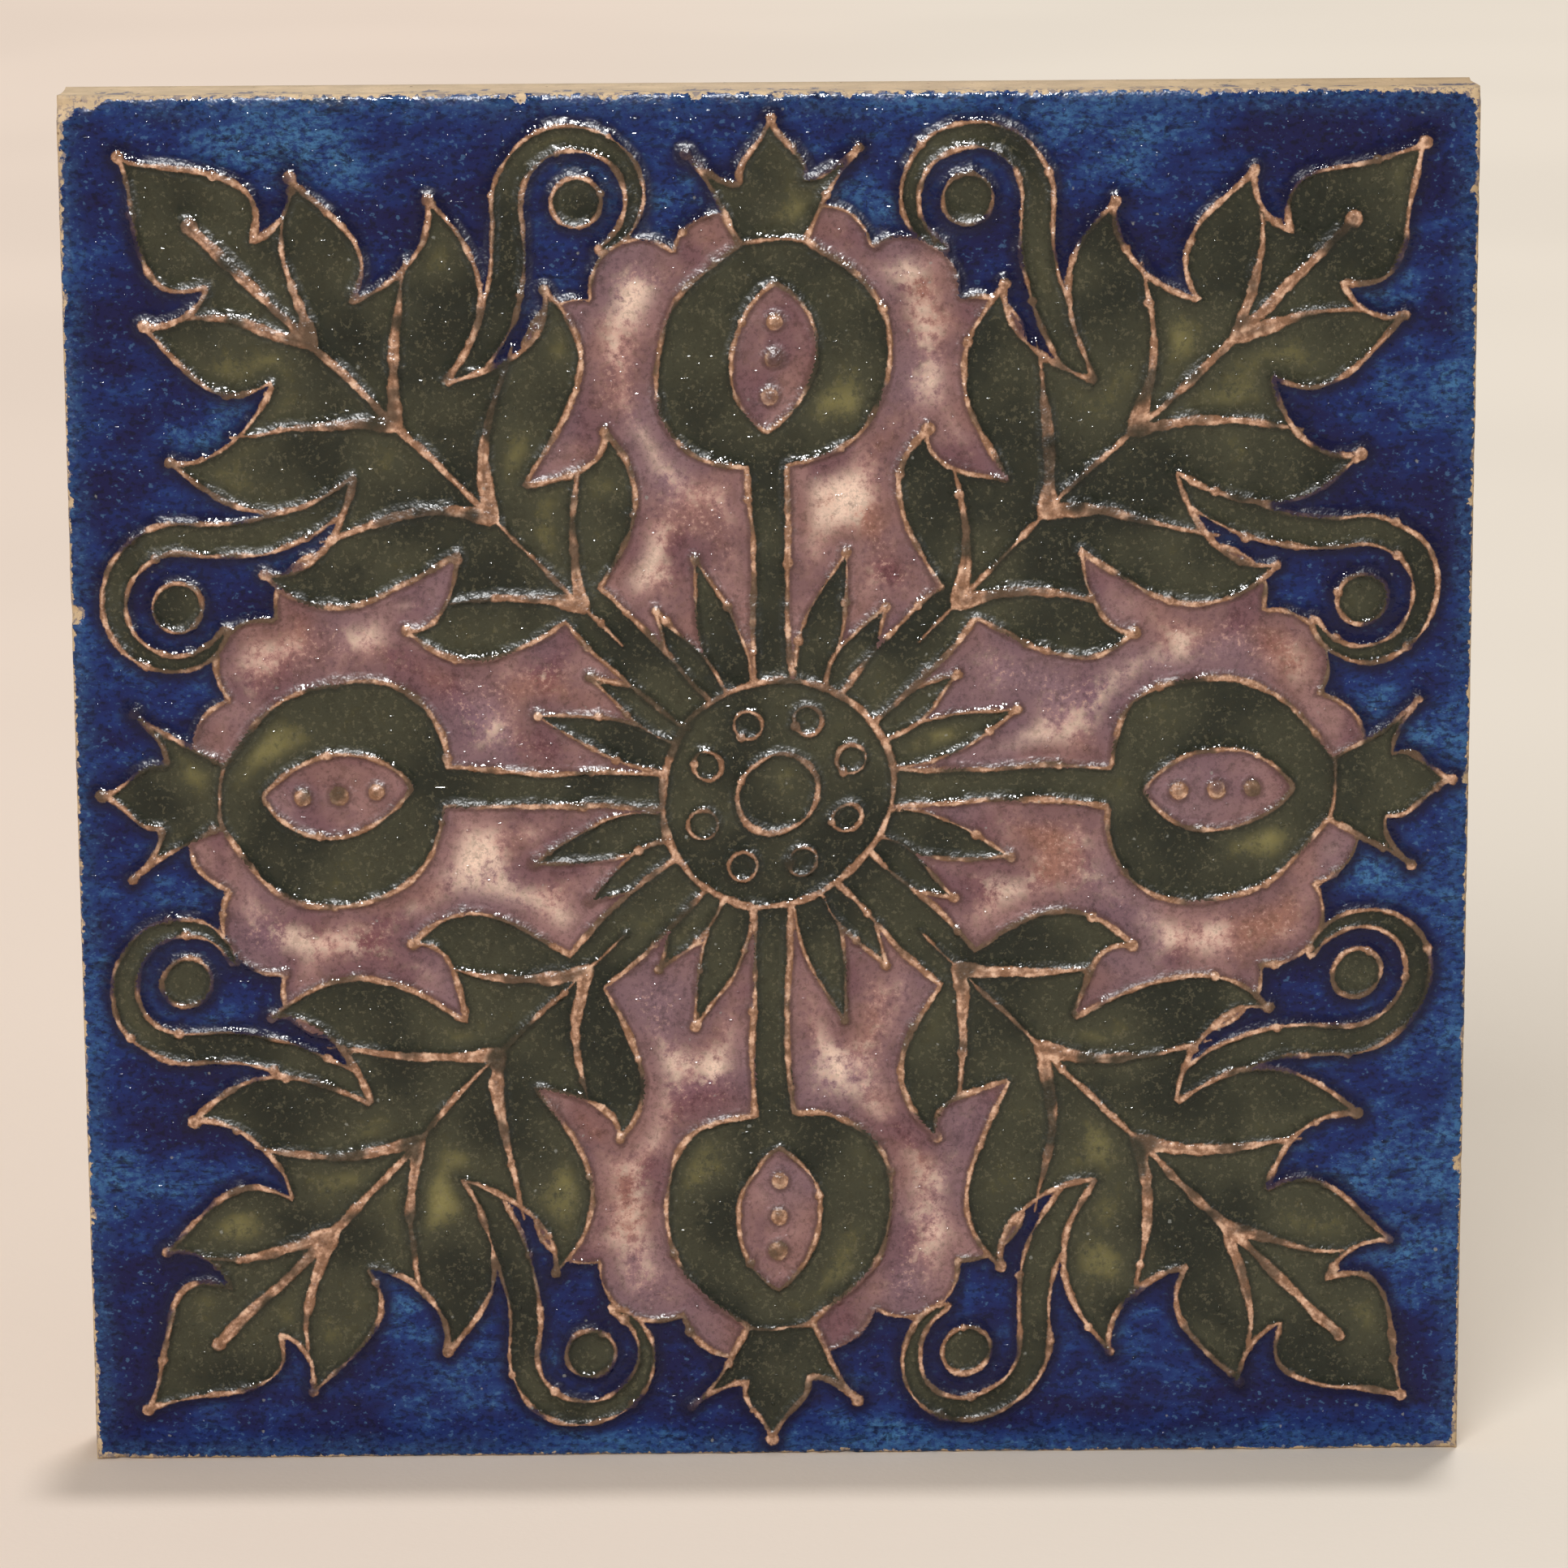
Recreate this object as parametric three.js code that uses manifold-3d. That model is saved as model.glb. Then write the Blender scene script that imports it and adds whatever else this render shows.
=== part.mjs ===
// A square art tile of fired clay, made to be set in a wall. The drawing on its face stands up in
// trailed slip, and keying grooves on its back hold the mortar.
// Millimetres. The back lies on y = 0, the decorated face looks along -Y, +Z is up.
import * as THREE from 'three';
import { mergeVertices } from 'three/addons/utils/BufferGeometryUtils.js';
import Module from 'manifold-3d';

const wasm = await Module();
wasm.setup();

// Slab
const SIDE = 152;
const THICKNESS = 11;
const ARRIS = 0.9;

// Keying grooves across the back, a little wider at their floor, stopped short of the sides
const KEY_COUNT = 8;
const KEY_BORDER = 9;
const KEY_DEPTH = 1.8;
const KEY_MOUTH = 6;
const KEY_UNDERCUT = 0.5;

// Trailed slip
const SLIP_WIDTH = 1.15;
const SLIP_HEIGHT = 0.85;
const SLIP_ROOT = 0.6;

// The drawing is set out in hundredths of the tile's half side, from the middle of the face.
const HUNDREDTH = SIDE / 200;

// How far a straight step may stray from its curve, and how finely hidden stretches are sought
const SAG = 0.44;
const CLIP_STEP = 0.4;
const TOUCHING = 1e-6;

// Corners of a line: the turn in degrees past which the outside is cut off, the limit of the
// mitre inside, and how far an end runs on, as a share of its half width
const SHARP_TURN = 70;
const MITRE_FLOOR = 0.15;
const END_LAP = 0.4;

// Weights of line, as shares of the full slip width
const BOLD = 1.05;
const PLAIN = 0.95;
const LIGHT = 0.85;
const FINE = 0.75;

// Sway of the hand: reach in hundredths, turn in degrees per hundredth, start in degrees
const SWAYS = [
  { reach: 0.6, turn: 5, start: 63 },
  { reach: 0.28, turn: 12, start: 23 },
];

// Each bow gives the angles in degrees at which a curve leaves and arrives, and the lengths of its
// two handles as shares of the distance between its ends.

// Field of four scalloped discs
const FIELD_CENTRE = 42;
const FIELD_RADIUS = 38.5;
const FIELD_SPAN = [-16, 196];
const SCALLOPS = 10;
const SCALLOP_BULGE = 68;

// Four lobed leaves on the diagonals
const LEAF_FOOT = [3.0, 15.5];
const LEAF_TIP = [0, 130];
const LEAF_LOBES = [
  { notch: [3.4, 38], tip: [20.5, 53], vein: [13.6, 51.5] },
  { notch: [6.8, 55.5], tip: [28, 74], vein: [19, 71.5] },
  { notch: [8.6, 74], tip: [25.5, 94], vein: [17, 90.5] },
  { notch: [7.6, 92.5], tip: [15, 111], vein: [10.2, 107.5] },
];
const LEAF_LAST_NOTCH = [4.8, 108.5];
const FOOT_BOW = { leave: 86, arrive: 100, pull: [0.3, 0.3] };
const LOBE_OUT_BOW = { leave: 12, arrive: 90, pull: [0.5, 0.44] };
const LOBE_BACK_BOW = { leave: 234, arrive: 148, pull: [0.42, 0.3] };
const TIP_BOW = { leave: 26, arrive: 112, pull: [0.55, 0.4] };
const VEIN_BOW = { leave: 58, arrive: 34, pull: [0.4, 0.4] };
const MIDRIB = [30, 116];
const VEIN_ROOT = 1.95;
const VEIN_END = 0.65;
const MIDRIB_END = 1.5;

// Four fruits on the axes
const STEM = [[2.7, 16], [2.3, 32], [2.9, 47.6]];
const FRUIT_GIRTH = [16.4, 61.5];
const FRUIT_NECK = [4.6, 79.5];
const CROWN_POINT = [12.2, 92];
const CROWN_NOTCH = [4.4, 88];
const CROWN_TOP = [0, 97];
const BULB_LOW_BOW = { leave: 4, arrive: 90, pull: [0.48, 0.46] };
const BULB_HIGH_BOW = { leave: 90, arrive: 142, pull: [0.5, 0.36] };
const CROWN_OUT_BOW = { leave: 60, arrive: 46, pull: [0.36, 0.36] };
const CROWN_BACK_BOW = { leave: 222, arrive: 165, pull: [0.3, 0.3] };
const CROWN_TOP_BOW = { leave: 66, arrive: 104, pull: [0.36, 0.36] };
const COLLAR_BOW = { leave: 14, arrive: -14, pull: [0.3, 0.3] };
const SLIT = [[0, 52.5], [0, 74]];
const SLIT_BOW = { leave: 32, arrive: 148, pull: [0.44, 0.44] };
const SEED_ROW = [57.6, 63, 68.2];
const SEED_RADIUS = 1.7;

// Eight croziers, each ending in a ring
const CROZIER_FOOT = [46.5, 58];
const CROZIER_EYE = [27.5, 84.5];
const CROZIER_LEAVE = 134;
const CROZIER_PULL = [0.42, 0.36];
const CROZIER_COIL = { from: 10, to: 7.4, start: -6, turn: 256 };
const CROZIER_HALF = 2.7;
const CROZIER_TAPER = 0.42;
const EYE_RADIUS = 3.6;

// Short leaves around the middle rosette
const FRINGE = [{ angle: 17.5, reach: 36 }, { angle: 32, reach: 31 }];
const FRINGE_FOOT = [1.9, 16.4];
const FRINGE_BOW = { leave: 72, arrive: 106, pull: [0.42, 0.36] };

// Middle rosette
const ROSETTE_RADIUS = 16.6;
const ROSETTE_EYE = 5.8;
const RING_COUNT = 8;
const RING_CENTRE = 11.2;
const RING_RADIUS = 2.1;

const QUARTERS = [0, 90, 180, 270];
const radians = THREE.MathUtils.degToRad;
const point = ([x, y]) => new THREE.Vector2(x, y);
const turned = (path, angle) => path.map((p) => p.clone().rotateAround(new THREE.Vector2(), radians(angle)));
const mirrored = (path) => path.map((p) => new THREE.Vector2(-p.x, p.y));
const distinct = (loop) => loop.filter((p, i) => p.distanceTo(loop.at(i - 1)) > TOUCHING);
const bothSides = (path) => distinct([...path, ...mirrored(path).reverse()]);
const joined = (paths) => paths.flatMap((path, i) => (i ? path.slice(1) : path));

function polar(centre, radius, angle) {
  const a = radians(angle);
  return [centre[0] + radius * Math.cos(a), centre[1] + radius * Math.sin(a)];
}

// How many straight steps follow a curve of this bend in degrees and length in hundredths
function steps(bend, length) {
  const radius = length / radians(bend);
  const widest = 2 * Math.acos(Math.max(1 - SAG / radius, 0));
  return Math.max(2, Math.ceil(radians(bend) / widest));
}

// A curve from a to b with the given bow
function sweep(a, b, { leave, arrive, pull }) {
  const start = point(a);
  const end = point(b);
  const span = start.distanceTo(end);
  const first = point(polar(a, pull[0] * span, leave));
  const second = point(polar(b, -pull[1] * span, arrive));
  const middle = THREE.MathUtils.radToDeg(second.clone().sub(first).angle());
  const turn = (angle) => Math.abs(THREE.MathUtils.euclideanModulo(middle - angle + 180, 360) - 180);
  const curve = new THREE.CubicBezierCurve(start, first, second, end);
  return curve.getPoints(steps(turn(leave) + turn(arrive), curve.getLength()));
}

function coil(centre, from, to, start, turn) {
  const count = steps(turn, (Math.abs(radians(turn)) * (from + to)) / 2);
  return Array.from({ length: count + 1 }, (_, i) => {
    const share = i / count;
    return point(polar(centre, from + (to - from) * share, start + turn * share));
  });
}

const ring = (centre, radius) => coil(centre, radius, radius, 0, 360).slice(1);

// A line of slip: its path and its weight at both ends and in between
const line = (path, weight = PLAIN, middle = weight, endWeight = weight) => ({
  path,
  weights: [weight, middle, endWeight],
});

// A motif that is drawn with one line around its area
function outlined(area, weight, lines = []) {
  return { area, lines: [line([...area, area[0]], weight), ...lines] };
}

// A motif covers an area, which hides what was drawn before it, and has its own lines.
function placed(motif, angle, flip = false) {
  const place = (path) => turned(flip ? mirrored(path) : path, angle);
  const lines = motif.lines.map((each) => ({ ...each, path: place(each.path) }));
  return { ...motif, area: place(motif.area), lines };
}

function fieldDisc() {
  const centre = [0, FIELD_CENTRE];
  const [from, to] = FIELD_SPAN;
  const step = (to - from) / SCALLOPS;
  const chord = 2 * FIELD_RADIUS * Math.sin(radians(step / 2));
  const radius = chord / 2 / Math.sin(radians(SCALLOP_BULGE));
  const distance = FIELD_RADIUS * Math.cos(radians(step / 2)) - radius * Math.cos(radians(SCALLOP_BULGE));
  const scallops = Array.from({ length: SCALLOPS }, (_, i) => {
    const angle = from + step * (i + 0.5);
    return coil(polar(centre, distance, angle), radius, radius, angle - SCALLOP_BULGE, 2 * SCALLOP_BULGE);
  });
  const edge = joined(scallops);
  return { isField: true, area: [...edge, new THREE.Vector2()], lines: [line(edge, LIGHT)] };
}

function fringeLeaf(reach) {
  return outlined(bothSides(sweep(FRINGE_FOOT, [0, reach], FRINGE_BOW)), FINE);
}

function crozier() {
  const { from, to, start, turn } = CROZIER_COIL;
  const bow = { leave: CROZIER_LEAVE, arrive: start + 90, pull: CROZIER_PULL };
  const stalk = sweep(CROZIER_FOOT, polar(CROZIER_EYE, from, start), bow);
  const spine = joined([stalk, coil(CROZIER_EYE, from, to, start, turn)]);
  const half = spine.map((_, i) => CROZIER_HALF * (1 - i / (spine.length - 1)) ** CROZIER_TAPER);
  const { left, right } = offsets(spine, half);
  return outlined([...left, ...right.slice(0, -1).reverse()], LIGHT);
}

function leaf() {
  const notches = [...LEAF_LOBES.map((lobe) => lobe.notch), LEAF_LAST_NOTCH];
  const side = [sweep(LEAF_FOOT, notches[0], FOOT_BOW)];
  LEAF_LOBES.forEach(({ notch, tip }, i) => {
    side.push(sweep(notch, tip, LOBE_OUT_BOW), sweep(tip, notches[i + 1], LOBE_BACK_BOW));
  });
  side.push(sweep(LEAF_LAST_NOTCH, LEAF_TIP, TIP_BOW));
  const midrib = line([[0, MIDRIB[0]], [0, MIDRIB[1]]].map(point), VEIN_END, PLAIN, MIDRIB_END);
  const veins = LEAF_LOBES.map(({ notch, vein }) => {
    const path = sweep([0, notch[1]], vein, VEIN_BOW);
    return line([...[...path].reverse(), ...mirrored(path).slice(1)], VEIN_END, VEIN_ROOT, VEIN_END);
  });
  return outlined(bothSides(joined(side)), PLAIN, [midrib, ...veins]);
}

function fruit() {
  const side = [
    STEM.map(point),
    sweep(STEM.at(-1), FRUIT_GIRTH, BULB_LOW_BOW),
    sweep(FRUIT_GIRTH, FRUIT_NECK, BULB_HIGH_BOW),
    sweep(FRUIT_NECK, CROWN_POINT, CROWN_OUT_BOW),
    sweep(CROWN_POINT, CROWN_NOTCH, CROWN_BACK_BOW),
    sweep(CROWN_NOTCH, CROWN_TOP, CROWN_TOP_BOW),
  ];
  const [x, y] = FRUIT_NECK;
  const collar = line(sweep([-x, y], [x, y], COLLAR_BOW), FINE);
  return outlined(bothSides(joined(side)), PLAIN, [collar]);
}

const slit = () => outlined(bothSides(sweep(...SLIT, SLIT_BOW)), LIGHT);

// All motifs from the bottom one up
function drawing() {
  const fields = QUARTERS.map((angle) => placed(fieldDisc(), angle));
  const fringe = (quarter) => {
    const pair = ({ angle, reach }) => [1, -1].map((way) => placed(fringeLeaf(reach), quarter + way * angle));
    return FRINGE.flatMap(pair);
  };
  const eye = outlined(ring(CROZIER_EYE, EYE_RADIUS), LIGHT);
  const middle = QUARTERS.flatMap((angle) => [
    ...fringe(angle),
    ...[crozier(), eye].flatMap((motif) => [false, true].map((flip) => placed(motif, angle, flip))),
  ]);
  const leaves = QUARTERS.map((angle) => placed(leaf(), angle + 45));
  const fruits = QUARTERS.flatMap((angle) => [fruit(), slit()].map((motif) => placed(motif, angle)));
  const rings = Array.from({ length: RING_COUNT }, (_, i) => {
    const centre = polar([0, 0], RING_CENTRE, (360 / RING_COUNT) * (i + 0.5));
    return outlined(ring(centre, RING_RADIUS), FINE);
  });
  const rosette = [outlined(ring([0, 0], ROSETTE_RADIUS), BOLD), outlined(ring([0, 0], ROSETTE_EYE), PLAIN)];
  return [...fields, ...middle, ...leaves, ...fruits, ...rosette, ...rings];
}

// Left and right edges of a band along a path. A sharp turn is mitred inside and cut off outside.
function offsets(path, half, closed = false) {
  const count = path.length;
  const left = [];
  const right = [];
  path.forEach((here, i) => {
    const back = closed || i > 0 ? path[(i + count - 1) % count] : null;
    const ahead = closed || i < count - 1 ? path[(i + 1) % count] : null;
    const arriving = here.clone().sub(back ?? here).normalize();
    const leaving = (ahead ?? here).clone().sub(here).normalize();
    const ways = [back ? arriving : leaving, ahead ? leaving : arriving];
    const normals = ways.map((way) => new THREE.Vector2(-way.y, way.x));
    const sum = normals[0].clone().add(normals[1]);
    const mitre = sum.multiplyScalar(2 / Math.max(sum.lengthSq(), MITRE_FLOOR));
    const sharp = normals[0].dot(normals[1]) < Math.cos(radians(SHARP_TURN));
    const turnsLeft = normals[0].cross(normals[1]) > 0;
    const leftWays = sharp && !turnsLeft ? normals : [mitre];
    const rightWays = sharp && turnsLeft ? normals : [mitre];
    leftWays.forEach((way) => left.push(here.clone().addScaledVector(way, half[i])));
    rightWays.forEach((way) => right.push(here.clone().addScaledVector(way, -half[i])));
  });
  return { left, right };
}

function insideArea(area, p) {
  let inside = false;
  area.forEach((a, i) => {
    const b = area[(i + 1) % area.length];
    const crosses = a.y > p.y !== b.y > p.y && p.x < ((b.x - a.x) * (p.y - a.y)) / (b.y - a.y) + a.x;
    inside = crosses ? !inside : inside;
  });
  return inside;
}

// The stretches of a line that no covering area hides
function visible({ path, weights }, covers) {
  const boxes = covers.map((area) => new THREE.Box2().setFromPoints(area));
  const hidden = (p) => covers.some((area, i) => boxes[i].containsPoint(p) && insideArea(area, p));
  const total = path.slice(1).reduce((sum, p, i) => sum + p.distanceTo(path[i]), 0);
  const [first, middle, end] = weights;
  const weightAt = (share) =>
    share < 0.5 ? first + (middle - first) * 2 * share : middle + (end - middle) * (2 * share - 1);
  const runs = [];
  let run = [];
  let last = null;
  let walked = 0;
  const close = () => {
    if (run.length && run.at(-1) !== last) run.push(last);
    if (run.length > 1) runs.push(run);
    run = [];
  };
  path.slice(0, -1).forEach((from, i) => {
    const length = from.distanceTo(path[i + 1]);
    const count = Math.ceil(length / CLIP_STEP);
    for (let j = i ? 1 : 0; j <= count; j += 1) {
      const place = from.clone().lerp(path[i + 1], j / count);
      const sample = { place, weight: weightAt((walked + (length * j) / count) / total) };
      if (hidden(place)) close();
      else if (!run.length || j === count) run.push(sample);
      last = sample;
    }
    walked += length;
  });
  close();
  return runs;
}

function swayed(p) {
  const wave = (other, way, { reach, turn, start }) => reach * Math.sin(radians(turn * other + way * start));
  const shift = (other, way) => SWAYS.reduce((sum, sway) => sum + wave(other, way, sway), 0);
  return new THREE.Vector2(p.x + shift(p.y, 1), p.y + shift(p.x, -1)).multiplyScalar(HUNDREDTH);
}

// A closed mesh with merged vertices becomes a solid that can be joined and cut
function solid(geometry) {
  const bare = geometry.clone();
  bare.deleteAttribute('normal');
  bare.deleteAttribute('uv');
  const merged = mergeVertices(bare, 1e-4);
  const vertProperties = Float32Array.from(merged.attributes.position.array);
  const triVerts = Uint32Array.from(merged.index.array);
  return new wasm.Manifold(new wasm.Mesh({ numProp: 3, vertProperties, triVerts }));
}

function extruded(outline, depth, holes = []) {
  const shape = new THREE.Shape(outline);
  shape.holes = holes;
  return new THREE.ExtrudeGeometry(shape, { depth, bevelEnabled: false });
}

// A raised figure of slip that reaches into the slab
function rooted(outline, holes) {
  const figure = extruded(outline, SLIP_ROOT + SLIP_HEIGHT, holes);
  return solid(figure.translate(0, 0, THICKNESS - SLIP_ROOT));
}

// One run of slip, rooted in the slab. A run that comes back to its start is a closed loop. Any
// other end runs on a little, into the line that it meets.
function slipLine(run) {
  const path = run.map((sample) => swayed(sample.place));
  const half = run.map((sample) => (sample.weight * SLIP_WIDTH) / 2);
  const closed = path[0].distanceTo(path.at(-1)) < TOUCHING;
  if (closed) {
    const loop = THREE.ShapeUtils.isClockWise(path) ? [...path].reverse() : path;
    const { left, right } = offsets(loop.slice(0, -1), half.slice(0, -1), true);
    return rooted(right, [new THREE.Path(left)]);
  }
  const lap = (end, next, reach) => end.clone().sub(next).setLength(reach).add(end);
  path.unshift(lap(path.shift(), path[0], END_LAP * half[0]));
  path.push(lap(path.pop(), path.at(-1), END_LAP * half.at(-1)));
  const { left, right } = offsets(path, half);
  return rooted([...left, ...right.reverse()]);
}

function seed(centre) {
  const around = ring([0, 0], SEED_RADIUS);
  const at = swayed(centre);
  const outline = around.map((p) => p.clone().multiplyScalar(HUNDREDTH).add(at));
  return rooted(outline);
}

// The slab with its front arris taken off, as the common part of two profiles
function slab() {
  const half = SIDE / 2;
  const edge = [[half, 0], [half, THICKNESS - ARRIS], [half - ARRIS, THICKNESS]].map(point);
  const bar = extruded(bothSides(edge), SIDE).translate(0, 0, -half).rotateX(Math.PI / 2);
  return solid(bar).intersect(solid(bar.clone().rotateZ(Math.PI / 2)));
}

// One keying groove, laid across the slab at the given height
function key(height) {
  const mouth = KEY_MOUTH / 2;
  const floor = mouth + KEY_UNDERCUT;
  const length = SIDE - 2 * KEY_BORDER;
  const half = [[mouth, -KEY_DEPTH], [mouth, 0], [floor, KEY_DEPTH]].map(point);
  const bar = extruded(bothSides(half), length).translate(0, 0, -length / 2);
  return solid(bar.rotateX(Math.PI / 2).rotateZ(Math.PI / 2).translate(0, height, 0));
}

function tileSolid() {
  const pitch = (SIDE - 2 * KEY_BORDER) / KEY_COUNT;
  const heights = Array.from({ length: KEY_COUNT }, (_, i) => (i + 0.5 - KEY_COUNT / 2) * pitch);
  const keyed = heights.reduce((rest, height) => rest.subtract(key(height)), slab());
  const motifs = drawing();
  const bands = motifs.flatMap((motif, i) => {
    const covers = motifs.filter((other, j) => j > i || (motif.isField && other.isField && j !== i));
    const areas = covers.map((other) => other.area);
    return motif.lines.flatMap((each) => visible(each, areas)).map(slipLine);
  });
  const seeds = QUARTERS.flatMap((angle) => SEED_ROW.map((y) => seed(turned([point([0, y])], angle)[0])));
  return [...bands, ...seeds].reduce((sum, each) => sum.add(each), keyed).asOriginal().simplify();
}

function tile() {
  const { vertProperties, triVerts } = tileSolid().getMesh();
  const geometry = new THREE.BufferGeometry();
  geometry.setAttribute('position', new THREE.Float32BufferAttribute(vertProperties, 3));
  geometry.setIndex(new THREE.Uint32BufferAttribute(triVerts, 1));
  geometry.computeVertexNormals();
  const glaze = new THREE.MeshStandardMaterial({ color: 0x2b3a5e, roughness: 0.3, metalness: 0 });
  glaze.flatShading = true;
  const mesh = new THREE.Mesh(geometry, glaze);
  mesh.name = 'tile';
  mesh.rotation.x = Math.PI / 2;
  return mesh;
}

const part = new THREE.Group();
part.add(tile());

export default part;
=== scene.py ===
"""A square tube-lined wall tile: clay body, glazed face and a plain stage.

The drawing of the face is set out in hundredths of the tile's half side, from the middle of the face,
and is the same as in the solid model. The relief and the sizes of the materials' patterns are in millimetres.
"""
import math
from collections import namedtuple

import bpy
import numpy as np
from bpy.props import FloatProperty, FloatVectorProperty, IntProperty, PointerProperty
from mathutils import Matrix, Vector, kdtree, noise
from mathutils.geometry import delaunay_2d_cdt


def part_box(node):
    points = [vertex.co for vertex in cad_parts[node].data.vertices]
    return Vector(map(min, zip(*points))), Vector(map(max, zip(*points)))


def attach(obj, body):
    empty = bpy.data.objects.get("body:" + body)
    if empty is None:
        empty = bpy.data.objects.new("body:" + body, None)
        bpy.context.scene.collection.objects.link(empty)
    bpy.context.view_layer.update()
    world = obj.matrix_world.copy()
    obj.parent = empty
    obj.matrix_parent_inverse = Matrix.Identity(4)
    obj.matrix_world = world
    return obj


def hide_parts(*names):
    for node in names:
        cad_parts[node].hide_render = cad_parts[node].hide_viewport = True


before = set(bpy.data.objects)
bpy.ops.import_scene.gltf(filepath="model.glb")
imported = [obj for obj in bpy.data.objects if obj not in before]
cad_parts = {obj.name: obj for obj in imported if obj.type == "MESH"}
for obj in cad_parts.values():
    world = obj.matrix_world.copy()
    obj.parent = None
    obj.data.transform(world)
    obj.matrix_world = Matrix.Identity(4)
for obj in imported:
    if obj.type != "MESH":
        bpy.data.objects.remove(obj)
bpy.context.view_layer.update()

bl_info = {
    "name": "Tube-lined Wall Tile",
    "version": (1, 0, 0),
    "blender": (4, 5, 0),
    "location": "3D View > Sidebar > Wall Tile",
    "description": "Builds a hand-made wall tile with trailed slip lines, mottled glazes and a keyed clay body",
    "category": "Add Mesh",
}

CAD_LOW, CAD_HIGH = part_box("tile")
MM = 0.001

# Sway of the hand: reach in hundredths, turn in degrees per hundredth, start in degrees
SWAYS = [(0.6, 5, 63), (0.28, 12, 23)]

# Weights of line, as shares of the full line width
BOLD, PLAIN, LIGHT, FINE = 1.05, 0.95, 0.85, 0.75

# Field of four scalloped discs
FIELD_CENTRE = 42
FIELD_RADIUS = 38.5
FIELD_SPAN = (-16, 196)
SCALLOPS = 10
SCALLOP_BULGE = 68

# Four lobed leaves on the diagonals. A bow is (leave, arrive, pull at the start, pull at the end).
LEAF_FOOT = (3.0, 15.5)
LEAF_TIP = (0, 130)
LEAF_LOBES = [
    {"notch": (3.4, 38), "tip": (20.5, 53), "vein": (13.6, 51.5)},
    {"notch": (6.8, 55.5), "tip": (28, 74), "vein": (19, 71.5)},
    {"notch": (8.6, 74), "tip": (25.5, 94), "vein": (17, 90.5)},
    {"notch": (7.6, 92.5), "tip": (15, 111), "vein": (10.2, 107.5)},
]
LEAF_LAST_NOTCH = (4.8, 108.5)
FOOT_BOW = (86, 100, 0.3, 0.3)
LOBE_OUT_BOW = (12, 90, 0.5, 0.44)
LOBE_BACK_BOW = (234, 148, 0.42, 0.3)
TIP_BOW = (26, 112, 0.55, 0.4)
VEIN_BOW = (58, 34, 0.4, 0.4)
MIDRIB = (30, 116)
VEIN_ROOT, VEIN_END, MIDRIB_END = 1.95, 0.65, 1.5

# Four fruits on the axes
STEM = [(2.7, 16), (2.3, 32), (2.9, 47.6)]
FRUIT_GIRTH = (16.4, 61.5)
FRUIT_NECK = (4.6, 79.5)
CROWN_POINT = (12.2, 92)
CROWN_NOTCH = (4.4, 88)
CROWN_TOP = (0, 97)
BULB_LOW_BOW = (4, 90, 0.48, 0.46)
BULB_HIGH_BOW = (90, 142, 0.5, 0.36)
CROWN_OUT_BOW = (60, 46, 0.36, 0.36)
CROWN_BACK_BOW = (222, 165, 0.3, 0.3)
CROWN_TOP_BOW = (66, 104, 0.36, 0.36)
COLLAR_BOW = (14, -14, 0.3, 0.3)
SLIT = ((0, 52.5), (0, 74))
SLIT_BOW = (32, 148, 0.44, 0.44)
SEED_ROW = (57.6, 63, 68.2)
SEED_RADIUS = 1.7

# Eight croziers, each ending in a ring
CROZIER_FOOT = (46.5, 58)
CROZIER_EYE = (27.5, 84.5)
CROZIER_STALK = (134, 84, 0.42, 0.36)
CROZIER_COIL = (10, 7.4, -6, 256)
CROZIER_HALF = 2.7
CROZIER_TAPER = 0.42
EYE_RADIUS = 3.6

# Short leaves around the middle rosette: angle from the axis and reach
FRINGE = [(17.5, 36), (32, 31)]
FRINGE_FOOT = (1.9, 16.4)
FRINGE_BOW = (72, 106, 0.42, 0.36)

# Middle rosette
ROSETTE_RADIUS = 16.6
ROSETTE_EYE = 5.8
RING_COUNT = 8
RING_CENTRE = 11.2
RING_RADIUS = 2.1

# Unevenness of a trailed line, as shares of its half width and height: level, then reach and knot
WIDTH_LEVEL, WIDTH_SWAYS = 0.96, ((0.16, 5), (0.13, 2))
HEIGHT_LEVEL, HEIGHT_SWAYS = 0.83, ((0.11, 6), (0.14, 2))
DRIFT, DRIFT_KNOT = 0.13, 6

# Sampling of the drawing, in hundredths, and of the relief, in millimetres
CURVE_STEP = 0.6
LINE_STEP = 0.56
FIELD_STEP = 1.55
ROW_SHARE = 0.866
SPACING = 0.19
RIM_ROWS = (0, 0.12, 0.3, 0.52, 0.8, 1.2, 1.75)
LINE_MARGIN, GRID_MARGIN, GRID_CLEARANCE = 1.9, 2.3, 1.35
NEAREST = 14
SKIRT_ROWS = (0.34, 0.67, 1.0)

# Rows beside a trailed line: share of its half width, and millimetres beyond that
LINE_ROWS = ((0.0, 0.0), (0.5, 0.0), (0.86, 0.0), (1.0, 0.14), (1.0, 0.42), (1.0, 0.9))

# Chips of the front arris: how many on each side
CHIP_SIDES = (((0, 1), 15), ((-1, 0), 8), ((1, 0), 8), ((0, -1), 8))

# Clay body, in millimetres, with the cuts along and down its sides
BACK_BEVEL = 0.45
SIDE_ROUGHNESS = 0.09
SIDE_CUTS, DEPTH_CUTS = 60, 3

# Less than this counts as no distance, in any unit
TOUCHING = 1e-6

# Kinds of face, each with a material of its own. The rim is cobalt that breaks to bare clay near the
# sides, as far in as this value of "rim" in millimetres.
FACE_KINDS = ("cobalt", "olive", "mauve", "rim")
RIM_REACH = 2.3

Motif = namedtuple("Motif", "glaze area lines beads is_field")
Strokes = namedtuple("Strokes", "points halves heights starts ends runs")


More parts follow.
